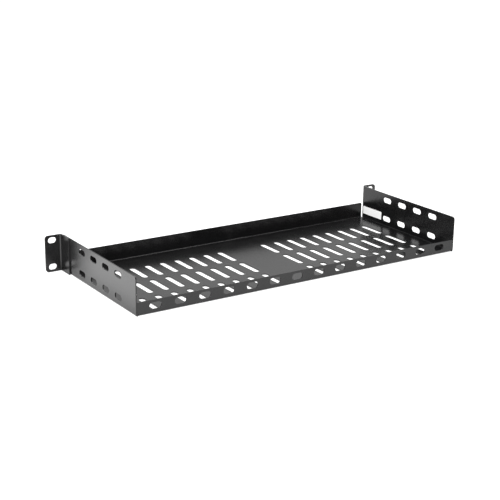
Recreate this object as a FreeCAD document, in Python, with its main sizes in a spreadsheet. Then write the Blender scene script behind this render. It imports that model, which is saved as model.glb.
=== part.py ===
"""Cantilever rack shelf, one rack unit high, for a 19-inch rack.

Three steel pieces, welded into one rigid part:
  tray       one folded sheet: slotted deck, two side walls, a low front wall
             and a pierced rear lip
  ear_left   L-shaped rack ear, its leg lapped on the outside of the -X side wall
  ear_right  the same ear, mirrored, on the +X side wall

Frame: millimetres, +X to the right as seen from the front of the rack, +Y back
into the rack, +Z up. The origin is the centre of the four ear slots, on the
back face of the ears, which is the face that seats on the rack rails. Each body
is drawn with its underside at Z = 0 and lowered by its Placement.
"""
import FreeCAD, Part
import math
import os
import Sketcher

V = FreeCAD.Vector
DOC = FreeCAD.newDocument("rack_shelf")

# name, value in mm, what it sets
DIMENSIONS = [
    ("panel_width", 482.6, "overall width across the two ears"),
    ("unit_height", 43.7, "height of the ears and of the side walls"),
    ("slot_inset", 8.75, "end of the ear to the centres of its rack slots"),
    ("slot_spacing_z", 31.75, "rack slots, centre to centre up the rail"),
    ("rack_slot_width", 7.0, "height of one rack slot"),
    ("rack_slot_length", 10.0, "end to end length of one rack slot"),
    ("ear_sheet", 1.5, "thickness of the ear plate"),
    ("ear_bend", 1.5, "inner bend radius of the ear"),
    ("ear_leg", 21.0, "rails to the end of the ear leg"),
    ("ear_corner", 4.0, "radius on the free corners of the ear"),
    ("ear_reach", 20.8, "side wall to the end of the ear"),
    ("body_back", 179.5, "rails to the outer face of the rear lip"),
    ("wall_front", 0.5, "rails to the front face of the front wall"),
    ("side_front", 3.5, "rails to the front edges of the side walls"),
    ("sheet", 1.2, "thickness of the tray sheet"),
    ("bend", 1.0, "inner bend radius of the tray"),
    ("wall_height", 20.9, "height of the front wall"),
    ("wall_gap", 1.5, "front wall to the inside of each side wall"),
    ("wall_corner", 2.0, "radius on the upper corners of the front wall"),
    ("lip_height", 15.3, "height of the rear lip"),
    ("lip_gap", 0.3, "rear lip to the inside of each side wall"),
    ("relief", 1.2, "width of the notch between lip bend and side bend"),
    ("side_corner", 3.5, "radius on the upper rear corners of the side walls"),
    ("vent_length", 38.5, "end to end length of a deck slot"),
    ("vent_width", 7.4, "width of a deck slot"),
    ("vent_pitch_x", 20.0, "deck slots, centre to centre across the deck"),
    ("vent_pitch_y", 48.4, "deck slots, centre to centre along the deck"),
    ("vent_first_x", 31.5, "middle of the deck to the first column of slots"),
    ("vent_first_y", 56.5, "rails to the centres of the first row of slots"),
    ("vent_side_clear", 20.0, "least flat between the last column and the side bend"),
    ("vent_back_clear", 3.0, "least flat between the last row and the lip bend"),
    ("side_hole_length", 15.6, "end to end length of a side wall hole"),
    ("side_hole_width", 7.0, "height of a side wall hole"),
    ("side_hole_pitch", 29.1, "side wall holes, centre to centre"),
    ("side_hole_first", 52.4, "rails to the centres of the first holes"),
    ("side_hole_clear", 25.0, "least distance from the last holes to the rear edge"),
    ("side_hole_low", 10.0, "underside to the lower row"),
    ("side_hole_high", 8.7, "upper row to the top edge"),
    ("lip_hole_length", 14.5, "end to end length of a lip hole"),
    ("lip_hole_width", 7.5, "height of a lip hole"),
    ("lip_hole_pitch", 30.35, "lip holes, centre to centre"),
    ("lip_hole_clear", 15.0, "least distance from the last hole to the end of the lip"),
    ("lip_hole_height", 8.7, "underside to the centres of the lip holes"),
]


class Size:
    """A number together with the sheet expression that gives it."""

    def __init__(self, number, text):
        self.number = float(number)
        self.text = text

    def join(self, sign, other):
        """This size, an arithmetic sign, and another size or plain number."""
        if not isinstance(other, Size):
            other = Size(other, repr(other))
        results = {
            "+": self.number + other.number,
            "-": self.number - other.number,
            "*": self.number * other.number,
            "/": self.number / other.number if other.number else 0.0,
        }
        return Size(results[sign], "(%s %s %s)" % (self.text, sign, other.text))

    def __add__(self, other):
        return self.join("+", other)

    def __sub__(self, other):
        return self.join("-", other)

    def __mul__(self, other):
        return self.join("*", other)

    def __truediv__(self, other):
        return self.join("/", other)

    def __neg__(self):
        return Size(-self.number, "(-1 * %s)" % self.text)

    def copies(self, pitch):
        """How many copies fit in this stretch at a pitch, one at each end of it."""
        gaps = self / pitch
        return Size(math.floor(gaps.number), "floor(%s)" % gaps.text) + 1


ZERO = Size(0, "0")
TWO = Size(2, "2")


def make_sheet():
    """Write the driving dimensions and return them as named sizes."""
    sheet = DOC.addObject("Spreadsheet::Sheet", "dims")
    sizes = {}
    for row, (name, number, note) in enumerate(DIMENSIONS, start=1):
        sheet.set("A%d" % row, name)
        sheet.set("B%d" % row, str(number))
        sheet.set("C%d" % row, note)
        sheet.setAlias("B%d" % row, name)
        sizes[name] = Size(number, "dims." + name)
    DOC.recompute()
    return sizes


D = make_sheet()

# Sizes that follow from the driving ones.
BODY_WIDTH = D["panel_width"] - D["ear_reach"] * 2
HALF = BODY_WIDTH / 2                       # middle to the outside of a side wall
INSIDE = HALF - D["sheet"]                  # middle to the inside of a side wall
OUTER_BEND = D["bend"] + D["sheet"]         # outer radius of the tray's bends
FLAT_HALF = HALF - OUTER_BEND               # middle to where a side bend starts
FLAT_BACK = D["body_back"] - OUTER_BEND     # rails to where the lip bend starts
LIP_HALF = FLAT_HALF - D["relief"]          # middle to the end of the lip bend


# ---------------------------------------------------------------- sketching
def origin_feature(body, role):
    """One of the body's own origin planes or axes, found by its Role."""
    return [f for f in body.Origin.OriginFeatures if f.Role == role][0]


def new_body(label):
    """A body drawn from its underside and lowered to the slot-pattern origin."""
    body = DOC.addObject("PartDesign::Body", label)
    body.Label = label
    body.setExpression("Placement.Base.z", "-dims.unit_height / 2")
    return body


def new_sketch(body, name, role, offset=ZERO):
    """A sketch on an origin plane, moved along that plane's normal."""
    sketch = body.newObject("Sketcher::SketchObject", name)
    sketch.AttachmentSupport = (origin_feature(body, role), [""])
    sketch.MapMode = "FlatFace"
    sketch.setExpression("AttachmentOffset.Base.z", offset.text)
    return sketch


def bind(sketch, kind, args, size):
    """Add one driving dimension and tie it to the sheet."""
    index = sketch.addConstraint(Sketcher.Constraint(kind, *args, abs(size.number)))
    name = "size%d" % index
    sketch.renameConstraint(index, name)
    positive = size if size.number >= 0 else -size
    sketch.setExpression("Constraints." + name, positive.text)


def place(sketch, edge, end, axis, size):
    """Hold one coordinate of a point, measured from the sketch's origin."""
    if abs(size.number) < 1e-9:
        line = -2 if axis == "X" else -1
        sketch.addConstraint(Sketcher.Constraint("PointOnObject", edge, end, line))
        return
    ends = (-1, 1, edge, end) if size.number > 0 else (edge, end, -1, 1)
    bind(sketch, "Distance" + axis, ends, size)


def end_at(sketch, edge, point):
    """Which end of an edge, 1 or 2, lies at a point."""
    return 1 if (sketch.Geometry[edge].StartPoint - point).Length < 1e-6 else 2


def join_ends(sketch, kind, one, two, point):
    """Tie two edges together, coincident or tangent, at a shared point."""
    ends = (one, end_at(sketch, one, point), two, end_at(sketch, two, point))
    sketch.addConstraint(Sketcher.Constraint(kind, *ends))


def outline(sketch, corners):
    """Closed outline of upright and level edges with some corners rounded.

    `corners` lists (x, y, radius) in order, all of them sizes; a radius of
    None leaves the corner sharp. Every edge holds its own coordinate and every
    round its own radius, so the sketch is fully constrained.
    """
    total = len(corners)
    points = [V(x.number, y.number, 0) for x, y, r in corners]
    leaving = []
    arriving = []
    for i, (x, y, radius) in enumerate(corners):
        reach = radius.number if radius else 0.0
        back = (points[i - 1] - points[i]).normalize()
        ahead = (points[(i + 1) % total] - points[i]).normalize()
        arriving.append(points[i] + back * reach)
        leaving.append(points[i] + ahead * reach)
    runs = []
    for i, (x, y, radius) in enumerate(corners):
        j = (i + 1) % total
        run = sketch.addGeometry(Part.LineSegment(leaving[i], arriving[j]))
        upright = abs(points[i].x - points[j].x) < 1e-6
        kind = "Vertical" if upright else "Horizontal"
        sketch.addConstraint(Sketcher.Constraint(kind, run))
        place(sketch, run, 1, "X" if upright else "Y", x if upright else y)
        runs.append(run)
    for i, (x, y, radius) in enumerate(corners):
        if radius is None:
            join_ends(sketch, "Coincident", runs[i - 1], runs[i], points[i])
            continue
        centre = arriving[i] + leaving[i] - points[i]
        bulge = centre + (points[i] - centre).normalize() * radius.number
        turn = (points[i] - arriving[i]).cross(leaving[i] - points[i]).z
        ends = [arriving[i], leaving[i]] if turn > 0 else [leaving[i], arriving[i]]
        arc = sketch.addGeometry(Part.Arc(ends[0], bulge, ends[1]))
        join_ends(sketch, "Tangent", runs[i - 1], arc, arriving[i])
        join_ends(sketch, "Tangent", arc, runs[i], leaving[i])
        bind(sketch, "Radius", (arc,), radius)


def obround(sketch, along, x, y, length, width):
    """A round-ended slot centred on (x, y) that runs along 'X' or 'Y'."""
    run = length - width
    reach = run.number / 2
    cap = width.number / 2
    ahead = V(1, 0, 0) if along == "X" else V(0, 1, 0)
    side = V(-ahead.y, ahead.x, 0)
    middle = V(x.number, y.number, 0)
    near = middle - ahead * reach
    far = middle + ahead * reach
    corners = [near - side * cap, far - side * cap, far + side * cap, near + side * cap]
    lower = sketch.addGeometry(Part.LineSegment(corners[0], corners[1]))
    front = sketch.addGeometry(Part.Arc(corners[1], far + ahead * cap, corners[2]))
    upper = sketch.addGeometry(Part.LineSegment(corners[2], corners[3]))
    rear = sketch.addGeometry(Part.Arc(corners[3], near - ahead * cap, corners[0]))
    join_ends(sketch, "Tangent", lower, front, corners[1])
    join_ends(sketch, "Tangent", front, upper, corners[2])
    join_ends(sketch, "Tangent", upper, rear, corners[3])
    join_ends(sketch, "Tangent", rear, lower, corners[0])
    kind = "Horizontal" if along == "X" else "Vertical"
    sketch.addConstraint(Sketcher.Constraint(kind, lower))
    bind(sketch, "Radius", (front,), width / 2)
    bind(sketch, "Distance" + along, (rear, 3, front, 3), run)
    shift = {"X": ZERO, "Y": ZERO, along: run / 2}
    place(sketch, rear, 3, "X", x - shift["X"])
    place(sketch, rear, 3, "Y", y - shift["Y"])


# ------------------------------------------------------- part design features
def extrude(body, kind, name, sketch, length, symmetric=False, reverse=False):
    """Pad or pocket a sketch; stop if the volume moves the wrong way."""
    before = body.Shape.Volume if body.Tip and not body.Shape.isNull() else 0.0
    feature = body.newObject("PartDesign::" + kind, name)
    feature.Profile = sketch
    feature.setExpression("Length", length.text)
    feature.Reversed = reverse
    if symmetric:
        feature.SideType = "Symmetric"
    DOC.recompute()
    gain = feature.Shape.Volume - before
    if abs(gain) < 0.5 or (gain > 0) != (kind == "Pad"):
        raise RuntimeError("%s %s changed the volume by %.2f" % (kind, name, gain))
    return feature


def pattern(body, name, feature, direction, pitch, count, second=None):
    """Repeat a cut along one axis of the body, or along two.

    Stop unless every copy removes as much as the cut it repeats.
    """
    before = feature.Shape.Volume
    single = feature.BaseFeature.Shape.Volume - before
    copies = body.newObject("PartDesign::LinearPattern", name)
    copies.Originals = [feature]
    copies.Direction = (origin_feature(body, direction + "_Axis"), [""])
    copies.Mode = "Spacing"
    copies.setExpression("Offset", pitch.text)
    copies.setExpression("Occurrences", count.text)
    extra = count.number - 1
    if second:
        copies.Direction2 = (origin_feature(body, second[0] + "_Axis"), [""])
        copies.Mode2 = "Spacing"
        copies.Spacings2 = [-1.0]
        copies.setExpression("Offset2", second[1].text)
        copies.setExpression("Occurrences2", second[2].text)
        extra = count.number * second[2].number - 1
    body.Tip = copies
    DOC.recompute()
    removed = before - copies.Shape.Volume
    if abs(removed - single * extra) > single * 0.01:
        raise RuntimeError("pattern %s removes %.2f, not %.2f" % (name, removed, single * extra))
    return copies


def fillet(body, name, radius, expected, test):
    """Round the straight edges whose two end points pass a test."""
    base = body.Tip
    names = []
    for number, edge in enumerate(base.Shape.Edges, start=1):
        if len(edge.Vertexes) != 2:
            continue
        if test(edge.Vertexes[0].Point, edge.Vertexes[1].Point):
            names.append("Edge%d" % number)
    if len(names) != expected:
        raise RuntimeError("fillet %s found %d edges" % (name, len(names)))
    feature = body.newObject("PartDesign::Fillet", name)
    feature.Base = (base, names)
    feature.setExpression("Radius", radius.text)
    DOC.recompute()
    return feature


# ------------------------------------------------------------------ the tray
def deck_and_sides(body):
    """Channel section: deck, two bends and two side walls."""
    top = D["unit_height"]
    sketch = new_sketch(body, "channel_profile", "XZ_Plane", -D["side_front"])
    outline(sketch, [
        (-HALF, top, None), (-HALF, ZERO, OUTER_BEND),
        (HALF, ZERO, OUTER_BEND), (HALF, top, None),
        (INSIDE, top, None), (INSIDE, D["sheet"], D["bend"]),
        (-INSIDE, D["sheet"], D["bend"]), (-INSIDE, top, None),
    ])
    length = D["body_back"] - D["side_front"]
    extrude(body, "Pad", "channel", sketch, length, reverse=True)


def deck_end(body):
    """Trim the flat of the deck at the lip bend; the side bends run on past it."""
    sketch = new_sketch(body, "deck_end_outline", "XY_Plane")
    past = D["body_back"] + D["sheet"]
    outline(sketch, [
        (-FLAT_HALF, FLAT_BACK, None), (FLAT_HALF, FLAT_BACK, None),
        (FLAT_HALF, past, None), (-FLAT_HALF, past, None),
    ])
    extrude(body, "Pocket", "deck_end", sketch, D["sheet"], reverse=True)


def upstand(body, name, face, inward, height, half_width):
    """A wall folded up from the deck across the shelf: bend and flat, one sheet.

    `face` is the Y of its outer face and `inward` is +1 where the deck lies on
    its +Y side, -1 where it lies on its -Y side.
    """
    inner_face = face + D["sheet"] * inward
    overlap = face + (OUTER_BEND + D["sheet"] * 2) * inward
    sketch = new_sketch(body, name + "_profile", "YZ_Plane")
    outline(sketch, [
        (overlap, ZERO, None), (face, ZERO, OUTER_BEND), (face, height, None),
        (inner_face, height, None), (inner_face, D["sheet"], D["bend"]),
        (overlap, D["sheet"], None),
    ])
    extrude(body, "Pad", name, sketch, half_width * 2, symmetric=True)


def lip_ends(body):
    """Above its bend the rear lip runs on to within a small gap of the sides."""
    reach = INSIDE - D["lip_gap"]
    low = OUTER_BEND + D["lip_gap"]
    sketch = new_sketch(body, "lip_flat_profile", "XZ_Plane", -D["body_back"])
    outline(sketch, [
        (-reach, D["lip_height"], None), (-reach, low, None),
        (reach, low, None), (reach, D["lip_height"], None),
    ])
    extrude(body, "Pad", "lip_flat", sketch, D["sheet"])


def tray_corners(body):
    """Round the free upper corners of the side walls and of the front wall."""
    back = D["body_back"].number
    top = D["unit_height"].number
    wall_top = D["wall_height"].number
    wall_back = D["wall_front"].number + D["sheet"].number

    def side_edge(a, b):
        at_end = abs(a.y - back) < 1e-3 and abs(b.y - back) < 1e-3
        return at_end and abs(a.z - top) < 1e-3 and abs(b.z - top) < 1e-3

    def wall_edge(a, b):
        level = abs(a.z - wall_top) < 1e-3 and abs(b.z - wall_top) < 1e-3
        across = abs(a.x - b.x) < 1e-3
        return level and across and max(a.y, b.y) < wall_back + 1e-3

    fillet(body, "side_corners", D["side_corner"], 2, side_edge)
    fillet(body, "wall_corners", D["wall_corner"], 2, wall_edge)


def deck_slots(body):
    """Two blocks of long slots, one each side of the plain middle of the deck.

    The first slot of each block is drawn; one pattern repeats both.
    """
    first = D["vent_first_x"]
    across = FLAT_HALF - D["vent_side_clear"] - D["vent_width"] / 2 - first
    along = FLAT_BACK - D["vent_back_clear"] - D["vent_length"] / 2 - D["vent_first_y"]
    columns = across.copies(D["vent_pitch_x"])
    last = first + D["vent_pitch_x"] * (columns - 1)
    sketch = new_sketch(body, "vent_outlines", "XY_Plane")
    for x in (-last, first):
        obround(sketch, "Y", x, D["vent_first_y"], D["vent_length"], D["vent_width"])
    cut = extrude(body, "Pocket", "vent_pair", sketch, D["sheet"] * 4, symmetric=True)
    rows = ("Y", D["vent_pitch_y"], along.copies(D["vent_pitch_y"]))
    pattern(body, "vents", cut, "X", D["vent_pitch_x"], columns, rows)


def side_holes(body):
    """Two rows of obround holes, punched through both side walls alike."""
    along = D["body_back"] - D["side_hole_clear"] - D["side_hole_first"]
    rise = D["unit_height"] - D["side_hole_low"] - D["side_hole_high"]
    sketch = new_sketch(body, "side_hole_outline", "YZ_Plane")
    obround(sketch, "X", D["side_hole_first"], D["side_hole_low"],
            D["side_hole_length"], D["side_hole_width"])
    through = BODY_WIDTH + D["sheet"] * 2
    cut = extrude(body, "Pocket", "side_hole", sketch, through, symmetric=True)
    count = along.copies(D["side_hole_pitch"])
    pattern(body, "side_holes", cut, "Y", D["side_hole_pitch"], count, ("Z", rise, TWO))


def lip_holes(body):
    """One row of obround holes along the rear lip, centred on the middle."""
    across = (LIP_HALF - D["lip_hole_clear"]) * 2
    count = across.copies(D["lip_hole_pitch"])
    first = -D["lip_hole_pitch"] * (count - 1) / 2
    sketch = new_sketch(body, "lip_hole_outline", "XZ_Plane", -D["body_back"])
    obround(sketch, "X", first, D["lip_hole_height"],
            D["lip_hole_length"], D["lip_hole_width"])
    cut = extrude(body, "Pocket", "lip_hole", sketch, D["sheet"] * 4, symmetric=True)
    pattern(body, "lip_holes", cut, "X", D["lip_hole_pitch"], count)


def make_tray():
    """The folded sheet."""
    body = new_body("tray")
    deck_and_sides(body)
    deck_end(body)
    upstand(body, "front_wall", D["wall_front"], 1, D["wall_height"], INSIDE - D["wall_gap"])
    upstand(body, "rear_lip", D["body_back"], -1, D["lip_height"], LIP_HALF)
    lip_ends(body)
    tray_corners(body)
    deck_slots(body)
    side_holes(body)
    lip_holes(body)
    return body


# ------------------------------------------------------------------ the ears
def make_ear(label, sign):
    """L-shaped ear: slotted plate across the rail, leg back along the side wall."""
    body = new_body(label)
    tip = D["panel_width"] / 2
    slot_x = tip - D["slot_inset"]
    root = HALF + D["ear_sheet"]
    outer = D["ear_bend"] + D["ear_sheet"]
    top = D["unit_height"]
    sketch = new_sketch(body, label + "_profile", "XY_Plane")
    outline(sketch, [
        (HALF * sign, D["ear_leg"], None), (HALF * sign, -D["ear_sheet"], outer),
        (tip * sign, -D["ear_sheet"], None), (tip * sign, ZERO, None),
        (root * sign, ZERO, D["ear_bend"]), (root * sign, D["ear_leg"], None),
    ])
    extrude(body, "Pad", label + "_angle", sketch, top)

    def free_corner(a, b):
        out = abs(abs(a.x) - tip.number) < 1e-3 and abs(abs(b.x) - tip.number) < 1e-3
        return out and abs(a.z - b.z) < 1e-3

    fillet(body, label + "_corners", D["ear_corner"], 2, free_corner)
    hole = new_sketch(body, label + "_slot_outline", "XZ_Plane")
    obround(hole, "X", slot_x * sign, (top - D["slot_spacing_z"]) / 2,
            D["rack_slot_length"], D["rack_slot_width"])
    cut = extrude(body, "Pocket", label + "_slot", hole, D["ear_sheet"] * 4, symmetric=True)
    pattern(body, label + "_slots", cut, "Z", D["slot_spacing_z"], TWO)
    return body


# -------------------------------------------------------------------- output
def check_document():
    """Stop on any object that failed to recompute."""
    for item in DOC.Objects:
        bad = [word for word in item.State if word in ("Invalid", "Error")]
        if bad:
            raise RuntimeError("%s is %s" % (item.Label, bad))


def export(bodies):
    """Check every piece and write it to parts/."""
    os.makedirs("parts", exist_ok=True)
    for body in bodies:
        shape = body.Shape
        if shape.isNull() or not shape.isValid() or len(shape.Solids) != 1:
            raise RuntimeError("%s is not one valid solid" % body.Label)
    for body in bodies:
        body.Shape.exportStep("parts/%s.step" % body.Label)
        box = body.Shape.BoundBox
        print("%-10s volume %10.1f mm3" % (body.Label, body.Shape.Volume))
        print("           x %.2f..%.2f  y %.2f..%.2f  z %.2f..%.2f"
              % (box.XMin, box.XMax, box.YMin, box.YMax, box.ZMin, box.ZMax))


def main():
    """Build the tray and its two ears."""
    bodies = [make_tray(), make_ear("ear_left", -1), make_ear("ear_right", 1)]
    DOC.recompute()
    check_document()
    export(bodies)


main()
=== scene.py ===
# %% [markdown]
# # A cantilever rack shelf, black powder coat
#
# The object is a shallow steel tray with two slotted ears. Its shapes come from
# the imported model, so this file adds only what a model of steel cannot hold:
# the coat of powder paint, one small paper label, the light, and the camera.

# %% Load the shelf
import math

import bpy
import numpy as np
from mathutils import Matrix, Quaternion, Vector


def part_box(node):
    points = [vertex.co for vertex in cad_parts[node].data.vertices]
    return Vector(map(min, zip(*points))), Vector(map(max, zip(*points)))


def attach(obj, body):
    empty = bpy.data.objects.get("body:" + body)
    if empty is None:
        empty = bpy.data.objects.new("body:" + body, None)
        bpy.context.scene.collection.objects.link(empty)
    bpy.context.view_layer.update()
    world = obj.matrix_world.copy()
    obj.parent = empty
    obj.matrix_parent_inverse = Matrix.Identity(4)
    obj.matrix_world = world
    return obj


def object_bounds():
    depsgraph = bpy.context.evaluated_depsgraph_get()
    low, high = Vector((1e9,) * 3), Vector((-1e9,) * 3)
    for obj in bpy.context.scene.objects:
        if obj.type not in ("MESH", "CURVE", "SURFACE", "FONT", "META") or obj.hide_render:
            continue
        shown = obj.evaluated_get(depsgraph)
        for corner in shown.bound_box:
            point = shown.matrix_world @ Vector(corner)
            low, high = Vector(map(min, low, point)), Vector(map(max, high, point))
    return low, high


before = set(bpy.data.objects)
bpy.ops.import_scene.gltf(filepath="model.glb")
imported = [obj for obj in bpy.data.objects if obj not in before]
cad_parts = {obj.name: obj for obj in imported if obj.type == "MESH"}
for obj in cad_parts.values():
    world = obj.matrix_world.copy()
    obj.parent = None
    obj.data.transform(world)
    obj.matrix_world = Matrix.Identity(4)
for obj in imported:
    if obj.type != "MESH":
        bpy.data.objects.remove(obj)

steel_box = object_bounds()
tray_low, tray_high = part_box("tray")
print("shelf box in metres:", [tuple(round(c, 4) for c in corner) for corner in steel_box])
print("tray is", round(tray_high.x - tray_low.x, 4), "m wide")

# %% [markdown]
# ## Writing shader maths as sums
#
# A material is a graph of small nodes. Wiring arithmetic by hand hides what it
# computes, so a small class wraps an output socket and gives it +, - and *.
# `1 - mask` then reads as it would on paper, and each operator adds one node.

# %% Signal and Finish
class Signal:
    """An output socket that takes part in arithmetic, one Math node for each operator."""

    def __init__(self, finish, socket):
        self.finish = finish
        self.socket = socket

    def combine(self, operation, first, second):
        """Add the Math node for `first operation second`."""
        inputs = {0: first, 1: second}
        return self.finish.node("Math", {"operation": operation}, inputs)["Value"]

    def __add__(self, other):
        return self.combine("ADD", self, other)

    def __radd__(self, other):
        return self.combine("ADD", other, self)

    def __sub__(self, other):
        return self.combine("SUBTRACT", self, other)

    def __rsub__(self, other):
        return self.combine("SUBTRACT", other, self)

    def __mul__(self, other):
        return self.combine("MULTIPLY", self, other)

    def __rmul__(self, other):
        return self.combine("MULTIPLY", other, self)


class Outputs:
    """The output sockets of one node, each handed out as a Signal."""

    def __init__(self, finish, node):
        self.finish = finish
        self.node = node

    def __getitem__(self, name):
        return Signal(self.finish, self.node.outputs[name])


class Finish:
    """A finish under construction: add nodes with `node`, end with `surface`.

    It is a new material unless an owner of nodes, such as a world, is given.
    """

    def __init__(self, name, owner=None):
        self.owner = owner or bpy.data.materials.new(name)
        self.owner.use_nodes = True
        self.tree = self.owner.node_tree
        self.tree.nodes.clear()

    def node(self, kind, settings=None, inputs=None):
        """Add a node of a kind, set its settings first, then link or set its inputs."""
        node = self.tree.nodes.new("ShaderNode" + kind)
        for name, value in (settings or {}).items():
            setattr(node, name, value)
        for name, value in (inputs or {}).items():
            if isinstance(value, Signal):
                self.tree.links.new(value.socket, node.inputs[name])
            else:
                node.inputs[name].default_value = value
        return Outputs(self, node)

    def ramp(self, factor, stops):
        """A colour ramp from stops, each a position and a colour."""
        outputs = self.node("ValToRGB", None, {"Fac": factor})
        ramp = outputs.node.color_ramp
        while len(ramp.elements) < len(stops):
            ramp.elements.new(0.5)
        for element, (position, colour) in zip(ramp.elements, stops):
            element.position = position
            element.color = (*colour, 1.0)
        return outputs["Color"]

    def fade(self, signal, span):
        """0 below the span's first value, 1 above its second, smooth between."""
        settings = {"interpolation_type": "SMOOTHSTEP"}
        inputs = {"Value": signal, "From Min": span[0], "From Max": span[1]}
        return self.node("MapRange", settings, inputs)["Result"]

    def surface(self, signal):
        """Use a shader as the material's surface."""
        self.node("OutputMaterial", None, {"Surface": signal})
        return self.owner


print("shader maths ready")

# %% [markdown]
# ## Black powder coat
#
# Powder paint is sprayed dry and melted in an oven. It flows into a skin with a
# fine, soft grain, rather like orange peel, and it draws back a little from the
# cut edges of the sheet. It is nearly black, so what the eye sees is almost all
# reflection: a soft sheen that grows where the surface is seen at a slant.
#
# A picture of paint could be wrapped round the steel, but it would need a seam
# at the folds. Noise on Object coordinates needs none and stays sharp from close
# up. Three scales of it are mixed: grain of under half a millimetre, a slow wave
# of the sheet itself, and cloudy patches where the coat is a little rougher. The
# Bevel node rounds the sharp edges of the sheet for the light only, which costs
# no extra faces. Along those edges the colour is also painted a little paler,
# a painted highlight.

# %% Powder coat
GRAIN, GRAIN_DEPTH = 0.00045, 0.000006
WAVE, WAVE_DEPTH = 0.045, 0.00003
CLOUD = 0.018
EDGE_RADIUS = 0.00035
PAINTED_EDGE_HIGHLIGHT = 2.0
COAT_SHADES = [
    (0.30, (0.0040, 0.0040, 0.0042)),
    (0.62, (0.0058, 0.0058, 0.0060)),
    (1.00, (0.0180, 0.0180, 0.0184)),
]
COAT_ROUGHNESS, COAT_UNEVEN = 0.23, 0.04
COAT_IOR = 1.48


def powder_coat(name):
    """Near-black coat: bump is grain plus wave, roughness follows the clouds.

    An edge is where the rounded normal leaves the flat one, and is painted a little paler: a painted
    highlight.
    """
    finish = Finish(name)
    place = finish.node("TexCoord")["Object"]
    grain = finish.node("TexNoise", None, {
        "Vector": place, "Scale": 1 / GRAIN, "Detail": 2.0, "Roughness": 0.5})["Fac"]
    wave = finish.node("TexNoise", None, {
        "Vector": place, "Scale": 1 / WAVE, "Detail": 1.0, "Roughness": 0.4})["Fac"]
    cloud = finish.node("TexNoise", None, {
        "Vector": place, "Scale": 1 / CLOUD, "Detail": 4.0, "Roughness": 0.6})["Fac"]
    rounded = finish.node("Bevel", {"samples": 6}, {"Radius": EDGE_RADIUS})["Normal"]
    relief = finish.node("Bump", None, {
        "Height": grain * GRAIN_DEPTH + wave * WAVE_DEPTH,
        "Distance": 1.0, "Strength": 1.0, "Normal": rounded})["Normal"]
    flat = finish.node("NewGeometry")["True Normal"]
    facing = finish.node("VectorMath", {"operation": "DOT_PRODUCT"}, {
        0: rounded, 1: flat})["Value"]
    edge = 1 - facing
    # painted highlight: the base colour is pushed paler along the sheet's edges
    colour = finish.ramp(cloud + edge * PAINTED_EDGE_HIGHLIGHT, COAT_SHADES)
    paint = finish.node("BsdfPrincipled", None, {
        "Base Color": colour,
        "Roughness": COAT_ROUGHNESS + cloud * COAT_UNEVEN,
        "IOR": COAT_IOR,
        "Normal": relief,
    })
    return finish.surface(paint["BSDF"])


black_coat = powder_coat("powder_coat")
for name in ("tray", "ear_left", "ear_right"):
    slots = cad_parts[name].data.materials
    slots.clear()
    slots.append(black_coat)
print("coated:", ", ".join(sorted(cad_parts)))

# %% [markdown]
# ## The paper label
#
# A plain white label is stuck inside one side wall, near the front. It is a
# sheet of paper less than a tenth of a millimetre thick with rounded corners.
# It could be a patch of white in the wall's own material, but a thin solid has
# a crisp outline from close up and can carry a finish of its own.
#
# Its outline is one function of an angle, and its section one short profile.
# Carrying the profile round the outline gives rows of points, all closed
# rings. The faces between such rows follow from counting alone, so two small
# helpers make them here for the label and later for the floor.

# %% Faces between rings
def ring_quads(rings, around):
    """Quads between neighbouring rings, in whole arrays.

    Point j of ring i has the index i * around + j. A quad joins j and the next
    point of one ring to the same two of the next ring, and j counts round.
    """
    i, j = np.mgrid[0:rings - 1, 0:around]
    near, far = i * around, (i + 1) * around
    after = (j + 1) % around
    quads = np.stack([near + j, far + j, far + after, near + after], axis=-1)
    return quads.reshape(-1, 4).tolist()


def fan(centre, start, around):
    """Triangles from one centre point to each side of the ring that begins at start."""
    here = np.arange(around)
    after = (here + 1) % around
    return np.stack([np.full(around, centre), start + here, start + after], axis=1).tolist()


print("one band of a ring of 4:", ring_quads(2, 4))

# %% [markdown]
# The label's section is a flat face, a soft rim and an upright edge. A flattened
# cube with a Bevel modifier would come close, but so thin a rim is easier to
# place outright. A fan closes the face, and a second one, turned over, closes
# the back.

# %% Label shape
LABEL_LENGTH = 0.0380
LABEL_HEIGHT = 0.0104
LABEL_CORNER = 0.0012
LABEL_THICK = 0.00009
CORNER_STEPS = 9


def rounded_rectangle(length, height, corner, steps):
    """Outline points, anticlockwise: each corner is a quarter turn about its own centre.

    For the turn angle a, a point is centre + corner * (cos a, sin a), where the
    centre sits `corner` in from both sides of the quadrant that a points to.
    """
    quarter = np.linspace(0, math.pi / 2, steps)
    angle = np.concatenate([quarter + k * math.pi / 2 for k in range(4)])
    quadrant = np.repeat(np.arange(4), steps)
    side_x = np.where((quadrant == 0) | (quadrant == 3), 1, -1)
    side_y = np.where(quadrant < 2, 1, -1)
    x = side_x * (length / 2 - corner) + corner * np.cos(angle)
    y = side_y * (height / 2 - corner) + corner * np.sin(angle)
    return np.stack([x, y], axis=1)


def label_skin(length, height, corner, thick):
    """Closed skin of a thin label lying in its own XY plane.

    Rings are the outline scaled by s and lifted to h, for the pairs (s, h) of
    the section: flat face, soft rim, upright edge. A point closes each end.
    """
    outline = rounded_rectangle(length, height, corner, CORNER_STEPS)
    rim = thick * 0.5 / (height / 2)
    section = np.array([(0.5, thick), (1 - rim, thick), (1.0, thick * 0.6), (1.0, 0.0)])
    rings = outline[None, :, :] * section[:, 0, None, None]
    lift = np.broadcast_to(section[:, 1, None, None], rings.shape[:2] + (1,))
    points = np.concatenate([rings, lift], axis=2).reshape(-1, 3)
    points = np.vstack([points, (0, 0, thick), (0, 0, 0)])
    around = len(outline)
    top, under = len(points) - 2, len(points) - 1
    face = fan(top, 0, around)
    back = [turned[::-1] for turned in fan(under, (len(section) - 1) * around, around)]
    return points, ring_quads(len(section), around) + face + back


points, faces = label_skin(LABEL_LENGTH, LABEL_HEIGHT, LABEL_CORNER, LABEL_THICK)
print("label skin:", len(points), "points,", len(faces), "faces")

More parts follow.
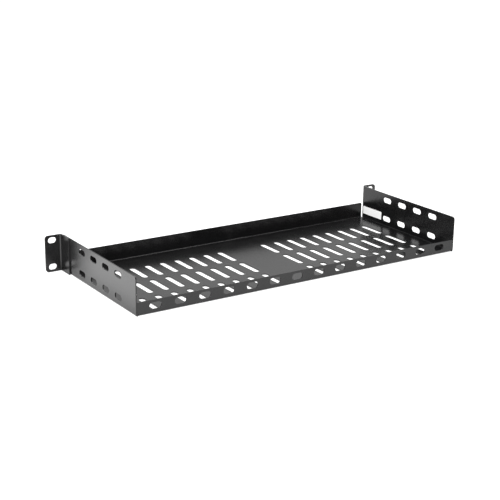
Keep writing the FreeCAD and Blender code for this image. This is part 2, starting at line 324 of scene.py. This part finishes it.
# %% [markdown]
# ## From arrays to an object
#
# Every new piece goes through one helper. Blender's operators could add meshes
# too, but they depend on what is selected, and from_pydata takes the arrays as
# they are. The object stays at the origin and its place is in its points, as it
# is for the steel, so both share one frame.

# %% Mesh helper
def add_mesh(name, points, faces, material):
    """A mesh object at the origin, with its place in its points."""
    mesh = bpy.data.meshes.new(name)
    mesh.from_pydata(points.tolist(), [], faces)
    mesh.materials.append(material)
    mesh.update()
    piece = bpy.data.objects.new(name, mesh)
    bpy.context.collection.objects.link(piece)
    return piece


print("meshes so far:", len(bpy.data.meshes))

# %% [markdown]
# ## Label paper and place
#
# The paper is white with faint clouds of fibre, and its gloss is slightly
# uneven. One even white would be simpler, but it would look like paint.
#
# The label's own X axis runs back along the wall, its Y axis runs up, and its
# face looks across the tray, so its points are (y, z, x) of the shelf's frame.

# %% Label finish and place
LABEL_FRONT = 0.0040
LABEL_LOW = 0.0067
SHEET = 0.0012
FIBRES_PER_METRE, FIBRE_DEPTH = 2200.0, 0.000004
PAPER_SHADES = [(0.30, (0.86, 0.86, 0.85)), (0.70, (0.93, 0.93, 0.92))]
PAPER_ROUGHNESS, PAPER_UNEVEN = 0.55, 0.1
PAPER_IOR = 1.45


def label_paper(name):
    """White coated paper: faint fibre clouds in the white, slightly uneven gloss."""
    finish = Finish(name)
    place = finish.node("TexCoord")["Object"]
    fibre = finish.node("TexNoise", None, {
        "Vector": place, "Scale": FIBRES_PER_METRE, "Detail": 3.0, "Roughness": 0.6})["Fac"]
    relief = finish.node("Bump", None, {
        "Height": fibre * FIBRE_DEPTH, "Distance": 1.0, "Strength": 1.0})["Normal"]
    paper = finish.node("BsdfPrincipled", None, {
        "Base Color": finish.ramp(fibre, PAPER_SHADES),
        "Roughness": PAPER_ROUGHNESS + fibre * PAPER_UNEVEN,
        "IOR": PAPER_IOR,
        "Normal": relief,
    })
    return finish.surface(paper["BSDF"])


wall_face = tray_low.x + SHEET
middle_y = LABEL_FRONT + LABEL_LENGTH / 2
middle_z = tray_low.z + LABEL_LOW + LABEL_HEIGHT / 2
points = points[:, [2, 0, 1]] + np.array([wall_face, middle_y, middle_z])
label = add_mesh("wall_label", points, faces, label_paper("label_paper"))
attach(label, "root")
print("label on the wall at x =", round(wall_face, 4))

# %% [markdown]
# ## Floor
#
# The floor is pale and plain. Its paint is lit like everything else, so it
# keeps the shelf's shadow. Stronger lamps could lift it to the white of the
# backdrop, but they would light the black steel too. A little glow lifts it
# instead: only the camera and reflections see it, so it adds nothing to the
# soft light on the shelf.
#
# What the outside of the +X wall mirrors is the floor beside it, so that is
# where the glow is shaped: a bright pool lights up the wall, and its slanting
# edge leaves the ear in front of it dark.

# %% Floor paint
FLOOR_WHITE = 0.48
FLOOR_LIFT = 0.68
MIRROR_LIFT = 0.60
POOL_LIFT = 1.68
POOL_SIDE = (0.205, 0.265)
POOL_SLANT = 1.6
POOL_FRONT = (0.360, 0.425)


def floor_paint(name):
    """Pale matt paint plus a glow that only camera and mirror rays see.

    Mirror rays find a brighter pool of it beside the +X end, but none at that
    end's front corner.
    """
    finish = Finish(name)
    path = finish.node("LightPath")
    place = finish.node("SeparateXYZ", None, {0: finish.node("TexCoord")["Object"]})
    side = finish.fade(place["X"], POOL_SIDE)
    pool = side * finish.fade(place["Y"] + place["X"] * POOL_SLANT, POOL_FRONT)
    shown = path["Is Camera Ray"] + path["Is Transmission Ray"]
    mirrored = pool * POOL_LIFT + (1 - side) * MIRROR_LIFT
    matt = finish.node("BsdfDiffuse", None, {"Color": (FLOOR_WHITE,) * 3 + (1.0,)})
    glow = finish.node("Emission", None, {
        "Color": shown * FLOOR_LIFT + path["Is Glossy Ray"] * mirrored, "Strength": 1.0})
    both = finish.node("AddShader", None, {0: matt["BSDF"], 1: glow["Emission"]})
    return finish.surface(both["Shader"])


floor_coat = floor_paint("floor_paint")
print("floor coat:", len(floor_coat.node_tree.nodes), "nodes")

# %% [markdown]
# The floor is a disc so wide that its edge lies near the horizon. A square would
# do as well, but its corners reach farther than its sides, so that its edge
# would change from view to view. The rings grow wider with distance, which
# fills the disc with few faces.

# %% Floor
FLOOR_RADIUS = 30.0
FLOOR_DROP = 0.0002
FLOOR_RINGS, FLOOR_AROUND = 12, 64


def floor_disc(radius, level, rings, around):
    """Flat disc: ring i of n lies at radius * (i / n) squared, its points at even turns.

    At the turn t, a ring's point is its reach * (cos t, sin t). A fan fills the middle.
    """
    reach = radius * np.linspace(0, 1, rings + 1)[1:] ** 2
    turn = np.linspace(0, 2 * math.pi, around, endpoint=False)
    x = reach[:, None] * np.cos(turn)
    y = reach[:, None] * np.sin(turn)
    points = np.stack([x, y, np.full_like(x, level)], axis=2).reshape(-1, 3)
    points = np.vstack([points, (0, 0, level)])
    return points, fan(len(points) - 1, 0, around) + ring_quads(rings, around)


floor_level = steel_box[0][2] - FLOOR_DROP
points, faces = floor_disc(FLOOR_RADIUS, floor_level, FLOOR_RINGS, FLOOR_AROUND)
floor = add_mesh("floor", points, faces, floor_coat)
print("floor level:", round(floor_level, 4))

# %% [markdown]
# ## The room
#
# Black gloss shows little of its own colour and much of the room, so the room
# is half of the finish. This one is a product table: a white backdrop stands
# across the shelf from the camera, and the camera's own side is dark. The deck
# mirrors the backdrop and turns grey, and the dark side keeps the faces that
# look back at the camera black.
#
# Sheets of white and black card could be modelled round the table. The world's
# own light needs only a few nodes, stands in the way of no other view, and can
# differ for the camera, for mirror rays and for the light that fills shadows.

# %% Room
ROOM = 0.70
BACKDROP_GLOSS = 0.84
BACKDROP_WAY = (-0.55, -0.83)
BACKDROP_EDGE = (0.20, 0.70)
BACKDROP_TOP = (0.70, 0.95)


def studio_room():
    """World light: even for lighting, white where the camera looks.

    Mirror rays see the backdrop across the shelf from the camera, fading out to
    both sides of it and towards the ceiling.
    """
    world = bpy.data.worlds.new("room")
    bpy.context.scene.world = world
    room = Finish("room", world)
    path = room.node("LightPath")
    way = room.node("SeparateXYZ", None, {0: room.node("TexCoord")["Generated"]})
    across = way["X"] * BACKDROP_WAY[0] + way["Y"] * BACKDROP_WAY[1]
    behind = room.fade(across, BACKDROP_EDGE)
    below_top = 1 - room.fade(way["Z"], BACKDROP_TOP)
    mirrored = behind * below_top * BACKDROP_GLOSS
    shown = path["Is Camera Ray"] + path["Is Transmission Ray"]
    rest = 1 - shown - path["Is Glossy Ray"]
    strength = shown + path["Is Glossy Ray"] * mirrored + rest * ROOM
    light = room.node("Background", None, {
        "Color": (1.0, 1.0, 1.0, 1.0), "Strength": strength})
    room.node("OutputWorld", None, {"Surface": light["Background"]})


studio_room()
print("room:", len(bpy.context.scene.world.node_tree.nodes), "nodes")

# %% [markdown]
# ## The lamps
#
# Small lamps would leave sharp spots in the gloss and hard shadows, so these are
# two broad, soft panels. The one overhead is caught by the small bend between
# deck and front wall, which shows as a thin light line. The other stands on the
# camera's side, where hardly any steel mirrors it, and lights the paper label.

# %% Lamps
def soft_panel(name, place, aim, width, height, power):
    """A rectangular lamp at `place` that faces `aim`."""
    lamp = bpy.data.lights.new(name, "AREA")
    lamp.shape = "RECTANGLE"
    lamp.size = width
    lamp.size_y = height
    lamp.energy = power
    holder = bpy.data.objects.new(name, lamp)
    holder.location = place
    holder.rotation_euler = (Vector(aim) - Vector(place)).to_track_quat("-Z", "Y").to_euler()
    holder.visible_camera = False
    bpy.context.collection.objects.link(holder)


soft_panel("panel_above", place=(-0.62, -0.3, 1.6), aim=(-0.3, 0, 0), width=1.6, height=1.0, power=32.0)
soft_panel("panel_side", place=(1.1, 1.0, 0.9), aim=(0, 0.1, 0), width=0.8, height=0.8, power=34.0)
print("lamps:", [lamp.name for lamp in bpy.data.lights])

# %% [markdown]
# ## Camera
#
# The camera stands behind the shelf, a little above it, as a person would hold
# the shelf to look into it. It is a long lens from about 1.4 metres away, so
# upright edges stay nearly upright. Three angles could turn it, but a point to
# look at says more to a reader, and one small roll in degrees does the rest.

# %% Camera
CAMERA_PLACE = Vector((0.74815, 1.18598, 0.40881))
CAMERA_AIM = Vector((0.01531, 0.08206, -0.00853))
CAMERA_ROLL = 0.8416
CAMERA_LENS = 83.93
SENSOR_WIDTH = 36.0


def add_camera(place, aim, roll, lens):
    """Look from place to aim, then roll until the picture has turned clockwise."""
    camera = bpy.data.cameras.new("camera")
    camera.lens = lens
    camera.sensor_width = SENSOR_WIDTH
    camera.clip_start = 0.02
    camera.clip_end = 100.0
    holder = bpy.data.objects.new("camera", camera)
    sight = (aim - place).normalized()
    level = sight.to_track_quat("-Z", "Y")
    tilt = Quaternion(sight, math.radians(-roll))
    holder.rotation_euler = (tilt @ level).to_euler()
    holder.location = place
    bpy.context.collection.objects.link(holder)
    bpy.context.scene.camera = holder


add_camera(CAMERA_PLACE, CAMERA_AIM, CAMERA_ROLL, CAMERA_LENS)
bpy.context.scene.view_settings.view_transform = "Standard"
print("camera distance:", round((CAMERA_PLACE - CAMERA_AIM).length, 3), "m")
